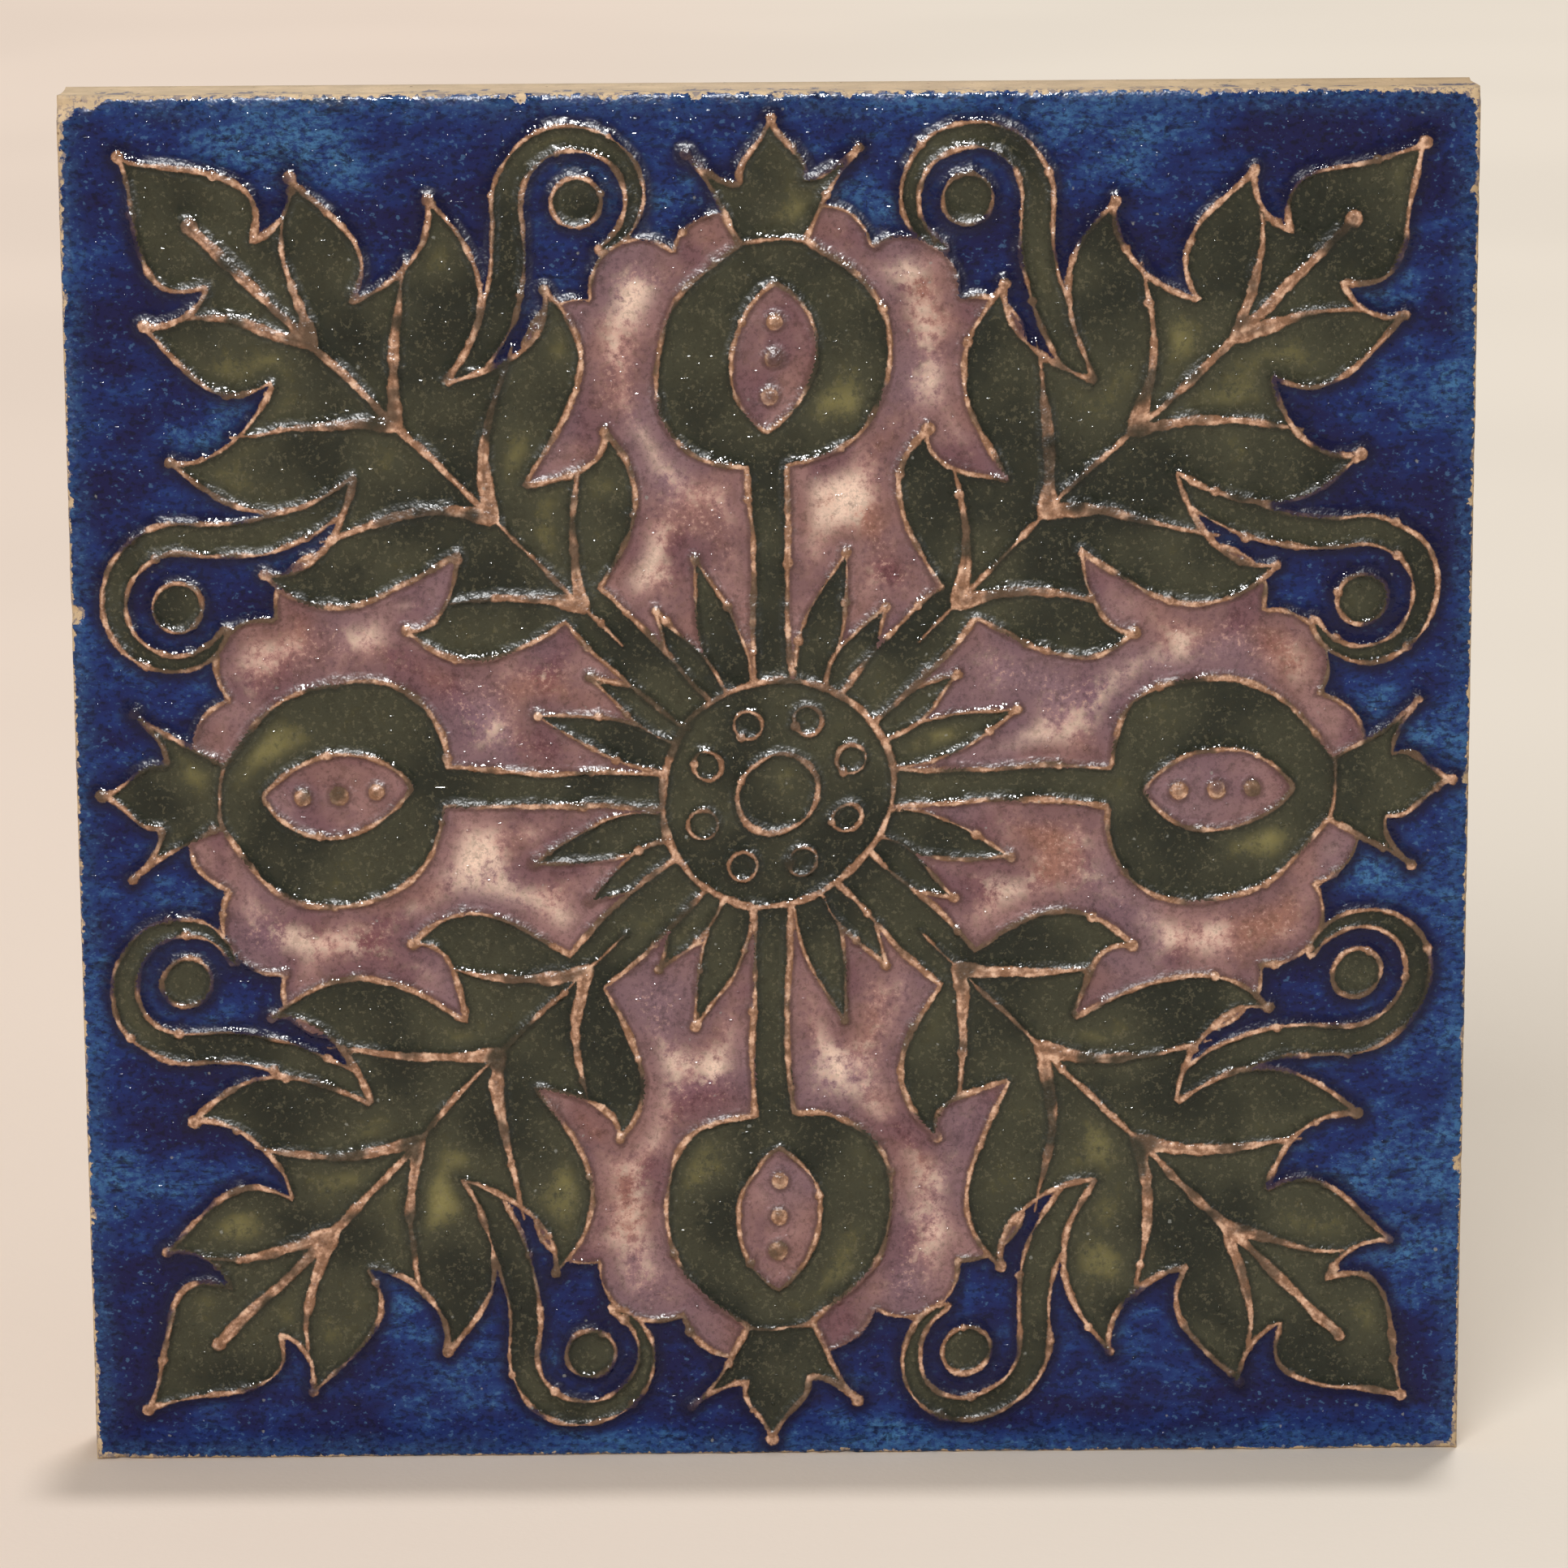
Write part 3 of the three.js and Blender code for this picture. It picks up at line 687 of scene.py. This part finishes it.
class Look:
    """Short names for the nodes of one material."""

    def __init__(self, name):
        self.material = bpy.data.materials.new(name)
        self.material.use_nodes = True
        self.tree = self.material.node_tree
        self.tree.nodes.clear()
        self.place = self.node("ShaderNodeTexCoord", "Object")

    def feed(self, socket, value):
        if isinstance(value, bpy.types.NodeSocket):
            self.tree.links.new(value, socket)
        elif isinstance(value, (tuple, list)) or hasattr(value, "r"):
            socket.default_value = (*tuple(value)[:3], 1) if len(socket.default_value) == 4 else tuple(value)
        else:
            socket.default_value = value

    def node(self, kind, output, inputs=None, **settings):
        """One output of a new node with these inputs and settings."""
        made = self.tree.nodes.new(kind)
        for key, value in settings.items():
            setattr(made, key, value)
        for slot, value in (inputs or {}).items():
            self.feed(made.inputs[slot], value)
        return made.outputs[output]

    def value(self, name):
        return self.node("ShaderNodeAttribute", "Fac", attribute_type="GEOMETRY", attribute_name=name)

    def axis(self, name):
        """The place along one axis, in metres."""
        return self.node("ShaderNodeSeparateXYZ", name, {0: self.place})

    def stretched(self, scale):
        return self.node("ShaderNodeMapping", "Vector", {"Vector": self.place, "Scale": scale})

    def noise(self, size, detail=2.0, roughness=0.5, place=None, distortion=0.0):
        """Noise with features of that size in millimetres."""
        return self.node("ShaderNodeTexNoise", "Fac", {
            "Vector": place or self.place, "Scale": 1 / (size * MM), "Detail": detail,
            "Roughness": roughness, "Distortion": distortion})

    def cells(self, size):
        """Distance to the nearest of many scattered points, in cells of that size in millimetres."""
        return self.node("ShaderNodeTexVoronoi", "Distance", {"Vector": self.place, "Scale": 1 / (size * MM)})

    def math(self, operation, a, b):
        return self.node("ShaderNodeMath", 0, {0: a, 1: b}, operation=operation)

    def plus(self, a, b):
        return self.math("ADD", a, b)

    def times(self, a, b):
        return self.math("MULTIPLY", a, b)

    def centred(self, noise):
        """A noise moved so that it is even on the whole."""
        return self.math("SUBTRACT", noise, 0.5)

    def bumps(self, size, height, detail=2.0, roughness=0.5):
        """Noise for a relief, that high in millimetres from its lowest to its highest place."""
        return self.times(self.centred(self.noise(size, detail, roughness)), height)

    def step(self, value, low, high, first=0.0, last=1.0):
        """A smooth change from first to last as the value goes from low to high."""
        return self.node("ShaderNodeMapRange", "Result", {
            "Value": value, "From Min": low, "From Max": high, "To Min": first, "To Max": last,
        }, interpolation_type="SMOOTHSTEP")

    def mix(self, share, a, b, blend_type="MIX"):
        """Colour a where share is 0 and colour b where it is 1."""
        return self.node("ShaderNodeMix", 2, {0: share, 6: a, 7: b}, data_type="RGBA", blend_type=blend_type)

    def blend(self, share, a, b):
        """Number a where share is 0 and number b where it is 1."""
        return self.node("ShaderNodeMix", 0, {0: share, 2: a, 3: b}, data_type="FLOAT")

    def darker(self, colour, share, amount):
        """The colour, taken down by that amount where share is 1."""
        return self.mix(share, colour, (1 - amount,) * 3, "MULTIPLY")

    def tinted(self, colour, tint, value, *steps):
        """The colour, turned to the tint by a step of the value."""
        return self.mix(self.step(value, *steps), colour, srgb(*tint))

    def finish(self, colour, roughness, relief, **settings):
        """Ends in a Principled surface. The relief is in millimetres."""
        normal = self.node("ShaderNodeBump", "Normal", {"Distance": MM, "Height": relief})
        inputs = {"Base Color": colour, "Roughness": roughness, "Normal": normal}
        inputs.update({name.replace("_", " "): value for name, value in settings.items()})
        surface = self.node("ShaderNodeBsdfPrincipled", 0, inputs)
        output = self.tree.nodes.new("ShaderNodeOutputMaterial")
        self.tree.links.new(surface, output.inputs["Surface"])
        return self.material


def clay_colour(look, colours):
    """Buff fired clay with grog, kiln stains and a few iron specks."""
    stained_buff = tuple(c * 0.78 for c in colours.clay)
    buff = look.mix(look.step(look.noise(5, 4, 0.6), 0.35, 0.7), stained_buff, colours.clay)
    grog = look.step(look.noise(0.45, 2, 0.6), 0.58, 0.72, 0, 0.35)
    speckled = look.mix(grog, buff, srgb(168, 132, 100))
    return look.tinted(speckled, (84, 56, 40), look.cells(1.9), 0.06, 0.12, 0.75, 0)


def clay_relief(look):
    return look.plus(look.bumps(1.4, 0.12, 3, 0.6), look.bumps(0.28, 0.05, 1))


def clay_material(colours):
    look = Look("fired clay")
    colour = look.tinted(clay_colour(look, colours), (176, 150, 124), look.noise(14, 3, 0.6), 0.4, 0.62, 0, 0.3)
    fronted = look.step(look.axis("Y"), -9.3 * MM, -1.2 * MM, 0.1, -0.12)
    drips = look.noise(2.2, 4, 0.65, look.stretched((1, 0.42, 1)))
    colour = look.tinted(colour, (58, 70, 104), look.plus(drips, fronted), 0.6, 0.68, 0, 0.75)
    roughness = look.step(look.noise(2, 3), 0.3, 0.7, 0.78, 0.95)
    return look.finish(colour, roughness, clay_relief(look), IOR=1.45)


def cobalt_colour(look, colours, shore):
    """Deep blue that breaks into pale streaks where it is thin, with dark pits."""
    wide = look.noise(14, 3, 0.55, look.stretched((0.5, 1, 1.1)))
    small = look.noise(3.0, 3, 0.62, look.stretched((0.65, 1, 1.25)))
    fine = look.noise(0.8, 3, 0.72, look.stretched((0.8, 1, 1.15)))
    depth = look.plus(wide, look.times(look.centred(small), 0.55))
    colour = look.mix(look.step(depth, 0.36, 0.6), colours.cobalt_deep, colours.cobalt)
    streak = look.step(depth, 0.51, 0.75)
    flecks = look.times(streak, look.step(fine, 0.38, 0.62, 0.12, 1))
    colour = look.mix(flecks, colour, colours.cobalt_pale)
    edge = look.step(look.plus(look.value("inset"), look.times(small, 5)), 2.2, 6.0, 0.7, 0)
    edge = look.times(edge, look.step(fine, 0.35, 0.62, 0.2, 1))
    colour = look.mix(edge, colour, srgb(48, 86, 132))
    grains = look.noise(0.7, 2, 0.65, look.stretched((0.8, 1, 1.1)))
    colour = look.darker(colour, look.step(grains, 0.52, 0.64, 0, 0.85), 0.6)
    torn = look.noise(2.4, 4, 0.75, look.stretched((0.6, 1, 1.5)), 1.0)
    torn = look.times(look.step(torn, 0.55, 0.61, 0, 0.9), look.step(depth, 0.46, 0.6))
    colour = look.darker(colour, torn, 0.6)
    colour = look.tinted(colour, (74, 112, 150), grains, 0.3, 0.4, 0.45, 0)
    return look.tinted(colour, (17, 16, 46), shore, 0.0, 1.6, 0.88, 0)


def mauve_colour(look, colours, shore):
    """Clouded purple-brown with wine, rusty and bluish patches and pale spots in the open glaze."""
    wide = look.noise(9.5, 1.5, 0.45, None, 0.3)
    middling = look.centred(look.noise(3.0, 2, 0.6))
    small = look.noise(1.1, 4, 0.74)
    fibre = look.centred(small)
    cloud = look.plus(wide, look.times(fibre, 0.62))
    cloud = look.plus(cloud, look.times(middling, 0.5))
    colour = look.mix(look.step(cloud, 0.34, 0.58), srgb(136, 98, 95), colours.mauve)
    for size, scale, low, high, most, tint in (
        (6.5, (1.2, 1, 0.9), 0.5, 0.66, 0.85, (114, 66, 74)),
        (11, (0.9, 1, 1.2), 0.5, 0.64, 0.6, (164, 114, 92)),
        (16, (1, 1, 0.8), 0.46, 0.62, 0.6, (134, 112, 128)),
    ):
        patches = look.noise(size, 1, 0.5, look.stretched(scale))
        colour = look.tinted(colour, tint, patches, low, high, 0, most)
    open_glaze = look.step(shore, 0.5, 3.4)
    pale = look.times(look.step(cloud, 0.45, 0.69), open_glaze)
    colour = look.mix(pale, colour, colours.mauve_pale)
    banks = look.step(look.plus(shore, look.times(fibre, 5)), 0.4, 4.2, 0.66, 0)
    colour = look.mix(banks, colour, colours.mauve_deep)
    colour = look.darker(colour, look.step(small, 0.45, 0.64, 0, 1), 0.36)
    grains = look.noise(0.6, 3, 0.7)
    light = look.times(look.step(grains, 0.32, 0.46, 0.5, 0), open_glaze)
    colour = look.mix(light, colour, srgb(208, 168, 154))
    colour = look.darker(colour, look.step(grains, 0.52, 0.66, 0, 0.75), 0.36)
    return look.tinted(colour, (80, 56, 50), shore, -0.1, 0.35, 0.55, 0)


def olive_colour(look, colours, shore):
    """Very dark olive with a fine speckle, warmer and lighter where it is thin."""
    wide = look.noise(13, 2, 0.5)
    small = look.noise(0.9, 4, 0.74)
    cloud = look.plus(wide, look.times(look.centred(small), 0.35))
    colour = look.mix(look.step(cloud, 0.36, 0.58), colours.olive_deep, colours.olive)
    glow = look.times(look.step(cloud, 0.56, 0.8), look.step(shore, 0.4, 2.4))
    colour = look.mix(glow, colour, colours.olive_glow)
    colour = look.darker(colour, look.step(small, 0.46, 0.64, 0, 1), 0.3)
    colour = look.tinted(colour, (110, 104, 82), look.noise(0.5, 2, 0.68), 0.54, 0.68, 0, 0.34)
    return look.tinted(colour, (30, 31, 26), shore, -0.1, 0.45, 0.5, 0)


def slip_colour(look, colours, shore):
    """Tan slip, pale on the lumps of its crest and stained brown on its flanks and broad places."""
    crest = look.step(shore, -0.46, -0.2, 1, 0)
    lumps = look.noise(1.3, 3, 0.66)
    bared = look.times(crest, look.step(lumps, 0.4, 0.6, 0.1, 1))
    colour = look.mix(bared, colours.slip_thin, colours.slip)
    colour = look.tinted(colour, (230, 192, 164), lumps, 0.54, 0.66, 0, 0.7)
    broad = look.step(shore, -0.95, -0.58, 0.6, 0)
    brown = look.mix(look.step(look.noise(0.8, 3, 0.7), 0.35, 0.65), srgb(88, 64, 50), srgb(138, 102, 78))
    colour = look.mix(broad, colour, brown)
    return look.tinted(colour, (84, 68, 54), look.noise(5, 2, 0.55), 0.48, 0.62, 0, 0.9)


def face_material(colours, kind):
    """A glaze and the bare slip of the lines around it, and on the rim bare clay too."""
    look = Look(f"{kind} face")
    shore = look.value("shore")
    crumb = look.centred(look.noise(0.7, 3, 0.65))
    glaze_colour = {"olive": olive_colour, "mauve": mauve_colour}.get(kind, cobalt_colour)
    colour = glaze_colour(look, colours, shore)
    creep = look.times(look.centred(look.noise(3.6, 2)), 0.45)
    ragged = look.plus(look.plus(shore, creep), look.times(crumb, 0.5))
    slip = look.step(ragged, -0.34, -0.14, 1, 0)
    slip = look.times(slip, look.step(look.noise(7, 1), 0.57, 0.64, 1, 0.12))
    colour = look.mix(slip, colour, slip_colour(look, colours, shore))
    sheen = look.noise(3)
    scuffed = look.plus(sheen, look.times(crumb, 0.3))
    colour = look.tinted(colour, (150, 150, 138), scuffed, 0.8, 0.87, 0, 0.6)
    dusty = look.plus(look.cells(3.7), look.times(crumb, 0.2))
    colour = look.tinted(colour, (150, 152, 146), dusty, 0.02, 0.06, 0.5, 0)
    pimples = look.step(look.noise(0.8, 0), 0.74, 0.82, 0, 0.07)
    glazed = look.plus(look.bumps(1.8, 0.05), pimples)
    beside = look.step(shore, 0.2, 0.8, 1, 0)
    if kind == "rim":
        beside = look.math("MAXIMUM", beside, look.step(look.value("inset"), 0.7, 1.8, 1, 0))
    lumpy = look.times(look.bumps(1.0, 0.3, 2, 0.6), look.step(shore, -0.3, -0.1, 1.5, 1))
    relief = look.blend(beside, glazed, lumpy)
    gloss = look.step(sheen, 0.3, 0.7, 0.1, 0.26)
    patchy = look.step(look.noise(4.5, 2), 0.40, 0.56, 0.12, 0.45)
    roughness = look.blend(beside, gloss, patchy)
    if kind == "rim":
        rim = look.value("rim")
        broken = look.plus(rim, look.times(crumb, 1.3))
        bare = look.step(broken, -0.08, 0.08, 1, 0)
        clay = clay_colour(look, colours)
        stain = look.tinted(clay, (52, 66, 104), look.noise(0.9, 3, 0.6), 0.5, 0.58, 0, 0.75)
        edge_clay = look.mix(look.step(rim, -1.5, -0.1, 0.1, 0.8), clay, stain)
        colour = look.mix(bare, colour, edge_clay)
        relief = look.blend(bare, relief, clay_relief(look))
        roughness = look.blend(bare, roughness, 0.9)
    return look.finish(colour, roughness, relief, Specular_IOR_Level=0.25)


def floor_material(colours):
    look = Look("pale floor")
    # Painted light: the floor is tinted warmer on the left and cooler towards the right, as lamps of two colours
    # would light it.
    painted_light_tint = look.mix(look.step(look.axis("X"), -0.12, 0.14), colours.floor, srgb(229, 220, 208))
    tint = look.darker(painted_light_tint, look.step(look.noise(220, 1), 0.3, 0.7), 0.04)
    return look.finish(tint, 0.85, look.bumps(0.6, 0.02, 1), Specular_IOR_Level=0.0)


# Pieces

def select_only(obj):
    bpy.ops.object.select_all(action="DESELECT")
    obj.select_set(True)
    bpy.context.view_layer.objects.active = obj


def pick(obj, domain, test):
    """In edit mode, selects just the vertices, edges or faces whose middle passes the test."""
    bpy.ops.mesh.select_all(action="DESELECT")
    bpy.ops.mesh.select_mode(type={"vertices": "VERT", "edges": "EDGE", "polygons": "FACE"}[domain])
    bpy.ops.object.mode_set(mode="OBJECT")
    mesh = obj.data
    for part in getattr(mesh, domain):
        corners = [mesh.vertices[i].co for i in part.vertices] if domain != "vertices" else [part.co]
        part.select = test(corners)
    bpy.ops.object.mode_set(mode="EDIT")


def key_cutter(sizes):
    """One solid of all keying grooves, each wider at its floor."""
    pitch = (sizes.side - 2 * sizes.key_border) / sizes.key_count
    bpy.ops.object.select_all(action="DESELECT")
    bpy.ops.mesh.primitive_cube_add(size=1, location=(0, 0, -pitch * (sizes.key_count - 1) / 2))
    cutter = bpy.context.object
    bpy.ops.object.mode_set(mode="EDIT")
    bpy.ops.transform.resize(value=(sizes.side - 2 * sizes.key_border, 2 * sizes.key_depth, sizes.key_mouth))
    pick(cutter, "polygons", lambda corners: all(c.y < -0.4 * sizes.key_depth for c in corners))
    bpy.ops.transform.resize(value=(1, 1, (sizes.key_mouth + 4 * sizes.key_undercut) / sizes.key_mouth))
    bpy.ops.object.mode_set(mode="OBJECT")
    bpy.ops.object.transform_apply(location=True, rotation=True, scale=True)
    rows = cutter.modifiers.new("rows", "ARRAY")
    rows.count = sizes.key_count
    rows.use_relative_offset = False
    rows.use_constant_offset = True
    rows.constant_offset_displace = (0, 0, pitch)
    bpy.ops.object.modifier_apply(modifier="rows")
    return cutter


def on_side(sizes, corner):
    return max(abs(corner.x), abs(corner.z)) > sizes.side / 2 - TOUCHING


def is_side_edge(sizes, a, b, least_drop, most_drop):
    """True for an edge on the tile's sides whose ends lie that far apart in depth."""
    return on_side(sizes, a) and on_side(sizes, b) and least_drop < abs(a.y - b.y) < most_drop


def is_back_edge(sizes, a, b):
    """True for an edge of the back's outline or of a groove's mouth, and not for one across the flat back."""
    sides = [on_side(sizes, corner) for corner in (a, b)]
    if min(a.y, b.y) < -TOUCHING or sides[0] != sides[1]:
        return False
    across, up = abs(a.x - b.x), abs(a.z - b.z)
    return all(sides) or up < TOUCHING or (across < TOUCHING and up < sizes.key_mouth + TOUCHING)


class TILE_OT_clay_body(bpy.types.Operator):
    """Builds the plain clay body with the keying grooves on its back"""

    bl_idname = "tile.clay_body"
    bl_label = "Clay Body"
    bl_options = {"REGISTER", "UNDO"}

    def execute(self, context):
        sizes, colours = context.scene.tile_sizes, context.scene.tile_colours
        bpy.ops.object.select_all(action="DESELECT")
        bpy.ops.mesh.primitive_cube_add(size=1, location=(0, -sizes.seam / 2, 0))
        body = context.object
        body.name = body.data.name = "clay_body"
        body.scale = (sizes.side, sizes.seam, sizes.side)
        bpy.ops.object.transform_apply(location=True, rotation=True, scale=True)
        cutter = key_cutter(sizes)
        select_only(body)
        cut = body.modifiers.new("keys", "BOOLEAN")
        cut.operation = "DIFFERENCE"
        cut.solver = "EXACT"
        cut.object = cutter
        bpy.ops.object.modifier_apply(modifier="keys")
        bpy.data.objects.remove(cutter)

        bpy.ops.object.mode_set(mode="EDIT")
        pick(body, "edges", lambda corners: is_back_edge(sizes, *corners))
        bpy.ops.mesh.bevel(offset=BACK_BEVEL * MM, offset_type="OFFSET", segments=2, affect="EDGES",
                           clamp_overlap=True)
        pick(body, "edges", lambda corners: is_side_edge(sizes, *corners, -1, TOUCHING))
        bpy.ops.mesh.subdivide(number_cuts=SIDE_CUTS)
        pick(body, "edges", lambda corners: is_side_edge(sizes, *corners, 3 * MM, 1))
        bpy.ops.mesh.subdivide(number_cuts=DEPTH_CUTS)
        pick(body, "vertices", lambda corners: on_side(sizes, corners[0])
             and -sizes.seam + 0.1 * MM < corners[0].y < -0.6 * MM)
        inward = 1 - SIDE_ROUGHNESS * MM / (sizes.side / 2)
        bpy.ops.transform.resize(value=(inward, 1, inward), center_override=(0, 0, 0))
        bpy.ops.transform.vertex_random(offset=SIDE_ROUGHNESS * MM, uniform=0.0, normal=1.0, seed=4)
        bpy.ops.mesh.select_all(action="SELECT")
        bpy.ops.mesh.normals_make_consistent(inside=False)
        bpy.ops.object.mode_set(mode="OBJECT")
        bpy.ops.object.shade_smooth_by_angle(angle=math.radians(40))
        body.data.materials.clear()
        body.data.materials.append(clay_material(colours))
        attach(body, "root")
        return {"FINISHED"}


class TILE_OT_glazed_face(bpy.types.Operator):
    """Builds the face: trailed slip lines, pooled glazes and the worn front arris.

    The relief follows several metres of drawn line, so its mesh is worked out from the drawing."""

    bl_idname = "tile.glazed_face"
    bl_label = "Glazed Face"
    bl_options = {"REGISTER", "UNDO"}

    def execute(self, context):
        sizes, colours = context.scene.tile_sizes, context.scene.tile_colours
        vertices, faces, values, kinds = face_mesh(sizes)
        mesh = bpy.data.meshes.new("glazed_face")
        mesh.from_pydata(vertices.tolist(), [], faces)
        for name, numbers in values.items():
            layer = mesh.attributes.new(name, "FLOAT", "POINT")
            layer.data.foreach_set("value", numbers.astype(np.float32))
        for kind in FACE_KINDS:
            mesh.materials.append(face_material(colours, kind))
        mesh.polygons.foreach_set("material_index", kinds)
        face = add_object("glazed_face", mesh)
        select_only(face)
        bpy.ops.object.shade_smooth_by_angle(angle=math.radians(75))
        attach(face, "root")
        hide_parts("tile")
        return {"FINISHED"}


def add_object(name, data):
    made = bpy.data.objects.new(name, data)
    bpy.context.scene.collection.objects.link(made)
    return made


def add_light(name, kind, energy, towards):
    """A lamp that shines in that direction."""
    lamp = bpy.data.lights.new(name, kind)
    lamp.energy = energy
    holder = add_object(name, lamp)
    holder.rotation_euler = Vector(towards).to_track_quat("-Z", "Y").to_euler()
    return holder


class TILE_OT_stage(bpy.types.Operator):
    """Builds the plain floor, the soft lights and the camera"""

    bl_idname = "tile.stage"
    bl_label = "Stage"
    bl_options = {"REGISTER", "UNDO"}

    def execute(self, context):
        sizes, colours, stage = context.scene.tile_sizes, context.scene.tile_colours, context.scene.tile_stage
        bpy.ops.object.select_all(action="DESELECT")
        bpy.ops.mesh.primitive_plane_add(size=stage.floor_side, location=(0, 0, -sizes.side / 2))
        floor = context.object
        floor.name = "floor"
        bpy.ops.object.transform_apply(location=True)
        floor.data.materials.append(floor_material(colours))

        front = add_light("front light", "SUN", 1.9, (0.35, 1.0, -0.62))
        front.data.angle = math.radians(30)
        above = add_light("top light", "SUN", 1.2, (-0.03, -0.09, -1.0))
        above.data.angle = math.radians(2.8)
        front.visible_glossy = above.visible_glossy = False
        place, aim = Vector((-0.03, -0.26, 0.34)), Vector((-0.022, -0.011, 0.045))
        glint = add_light("glint light", "SPOT", 34, aim - place)
        glint.location = place
        glint.data.shadow_soft_size = 0.006
        glint.data.spot_size, glint.data.spot_blend = math.radians(30), 1.0
        glint.visible_diffuse = False
        world = bpy.data.worlds.new("pale room")
        world.use_nodes = True
        background = world.node_tree.nodes["Background"]
        background.inputs["Color"].default_value = (1.0, 0.94, 0.85, 1)
        background.inputs["Strength"].default_value = 0.37
        context.scene.world = world
        context.scene.view_settings.view_transform = "Standard"

        lens = bpy.data.cameras.new("camera")
        lens.sensor_width = 36
        lens.lens = stage.lens
        lens.clip_start = 0.01
        camera = add_object("camera", lens)
        tilt, yaw, roll = (math.radians(angle) for angle in (12.15, -0.45, -0.35))
        away = Vector((math.sin(yaw) * math.cos(tilt), -math.cos(yaw) * math.cos(tilt), math.sin(tilt)))
        middle = Vector((0, -sizes.thickness, 0))
        camera.location = middle + away * stage.distance
        aim = (-away).to_track_quat("-Z", "Y").to_matrix().to_4x4()
        camera.rotation_euler = (aim @ Matrix.Rotation(roll, 4, "Z")).to_euler()
        lens.shift_x, lens.shift_y = 0.0068, 0.003
        context.scene.camera = camera
        return {"FINISHED"}


class TILE_PT_sidebar(bpy.types.Panel):
    """Lists the tile's pieces, sizes and colours"""

    bl_idname = "TILE_PT_sidebar"
    bl_label = "Wall Tile"
    bl_space_type = "VIEW_3D"
    bl_region_type = "UI"
    bl_category = "Wall Tile"

    def draw(self, context):
        scene = context.scene
        for operator in OPERATORS:
            self.layout.operator(operator.bl_idname)
        for group in (scene.tile_sizes, scene.tile_colours, scene.tile_stage):
            box = self.layout.box()
            for name in type(group).__annotations__:
                box.prop(group, name)


OPERATORS = (TILE_OT_clay_body, TILE_OT_glazed_face, TILE_OT_stage)
CLASSES = (TileSizes, TileColours, StageSizes, *OPERATORS, TILE_PT_sidebar)


def register():
    for each in CLASSES:
        bpy.utils.register_class(each)
    bpy.types.Scene.tile_sizes = PointerProperty(type=TileSizes)
    bpy.types.Scene.tile_colours = PointerProperty(type=TileColours)
    bpy.types.Scene.tile_stage = PointerProperty(type=StageSizes)


def unregister():
    del bpy.types.Scene.tile_stage
    del bpy.types.Scene.tile_colours
    del bpy.types.Scene.tile_sizes
    for each in reversed(CLASSES):
        bpy.utils.unregister_class(each)


def main():
    register()
    bpy.ops.tile.clay_body()
    bpy.ops.tile.glazed_face()
    bpy.ops.tile.stage()


if __name__ == "__main__":
    main()
